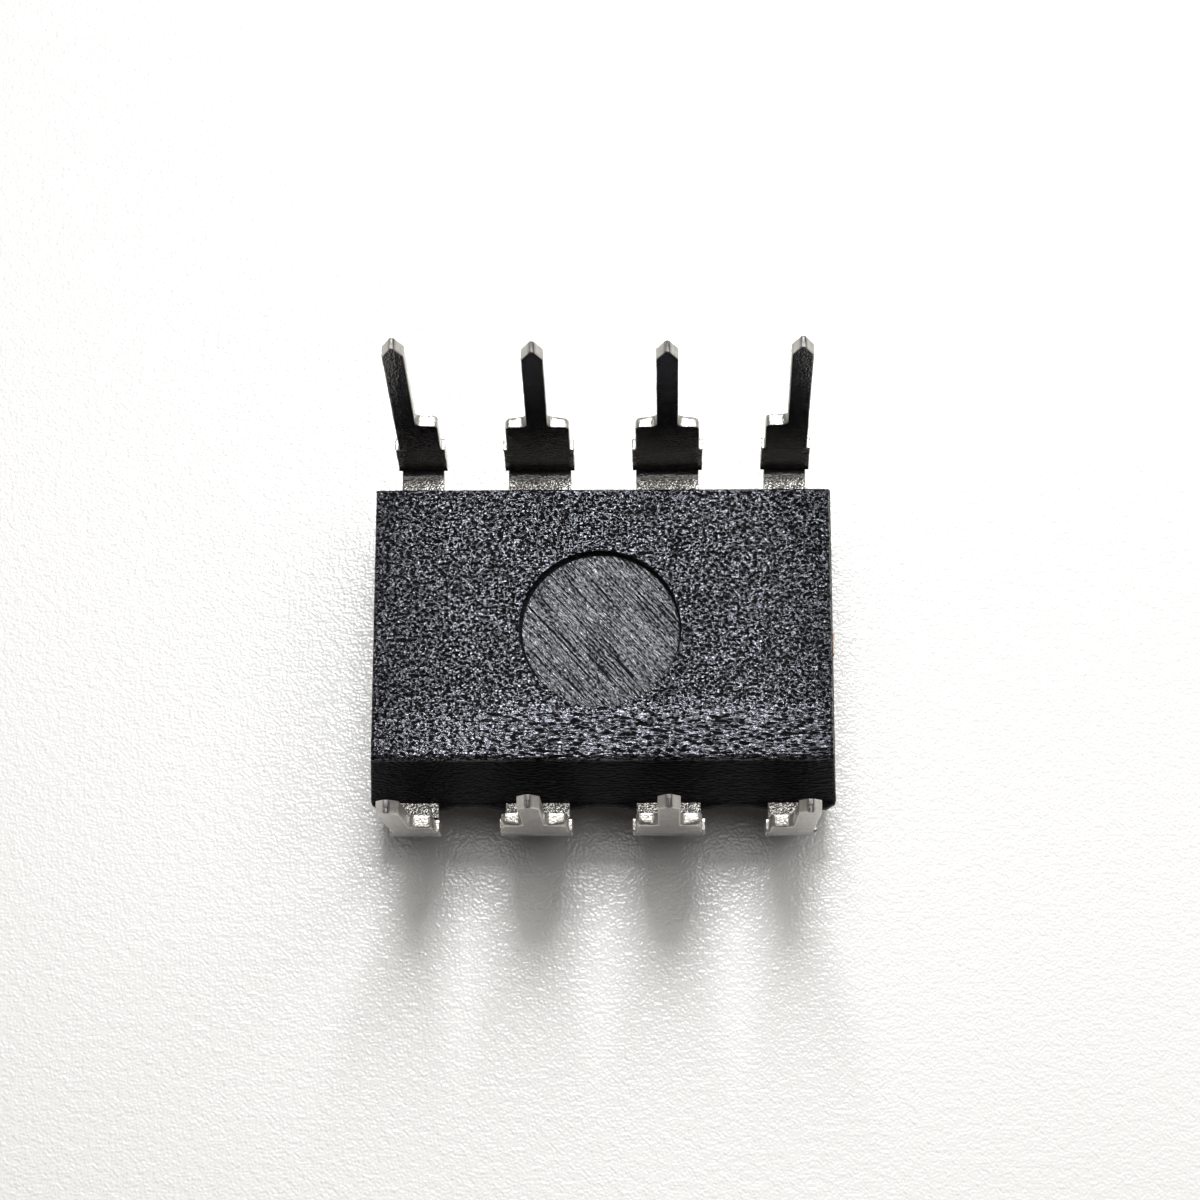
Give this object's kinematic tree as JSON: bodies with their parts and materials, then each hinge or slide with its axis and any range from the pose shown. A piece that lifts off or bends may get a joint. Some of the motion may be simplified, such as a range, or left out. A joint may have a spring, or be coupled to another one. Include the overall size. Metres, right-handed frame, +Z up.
{
  "type": "dip integrated circuit chip",
  "caption": "Dual in-line integrated circuit with a black moulded body and two rows of tin-plated leads for a board or socket.",
  "frame": {"origin": "centre of the marking face, which the part rests on", "axes": "+Z up, along the legs from the marking face to the underside; +X along the rows, away from the end with the pin one notch; lead 1 is at -X, +Y"},
  "size_m": [0.009, 0.0092, 0.0067],
  "materials": {
    "mould_compound": "matte black epoxy with a spark-eroded mould texture",
    "tinned_lead": "matte tin plating on stamped sheet",
    "copper_frame": "bare stamped copper alloy",
    "die_adhesive": "silver-filled epoxy",
    "silicon": "polished silicon",
    "gold_wire": "drawn gold wire"
  },
  "bodies": {
    "root": {"moulded_body": "mould_compound", "lead_1": "tinned_lead", "lead_2": "tinned_lead", "lead_3": "tinned_lead", "lead_4": "tinned_lead", "lead_5": "tinned_lead", "lead_6": "tinned_lead", "lead_7": "tinned_lead", "lead_8": "tinned_lead", "die_paddle": "copper_frame", "die_adhesive": "die_adhesive", "silicon_die": "silicon", "bond_wire_1": "gold_wire", "bond_wire_2": "gold_wire", "bond_wire_3": "gold_wire", "bond_wire_4": "gold_wire", "bond_wire_5": "gold_wire", "bond_wire_6": "gold_wire", "bond_wire_7": "gold_wire", "bond_wire_8": "gold_wire"}
  },
  "joints": []
}
